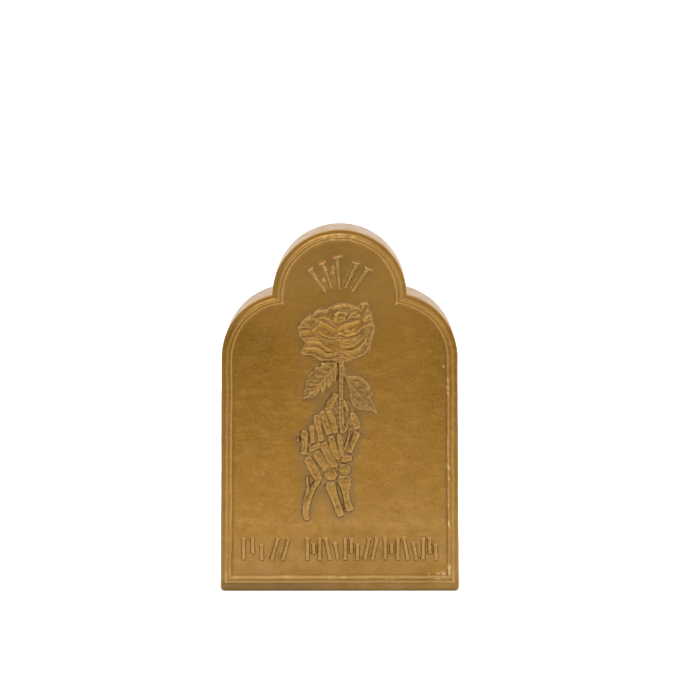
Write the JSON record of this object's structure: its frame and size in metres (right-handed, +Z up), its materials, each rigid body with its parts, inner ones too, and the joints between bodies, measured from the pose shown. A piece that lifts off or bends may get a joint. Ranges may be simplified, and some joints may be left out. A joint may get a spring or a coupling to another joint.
{
  "type": "bronze plaque",
  "caption": "Small free-standing cast plaque with an arched top and two shoulders, carved in low relief with a skeleton hand holding a rose.",
  "frame": {"origin": "middle of the flat underside", "axes": "+Z up the plaque, -Y out of the carved face, +X to the right as seen from the front"},
  "size_m": [0.1, 0.0294, 0.1521],
  "materials": {
    "bronze": "satin"
  },
  "bodies": {
    "root": {"plaque": "bronze"}
  },
  "joints": []
}
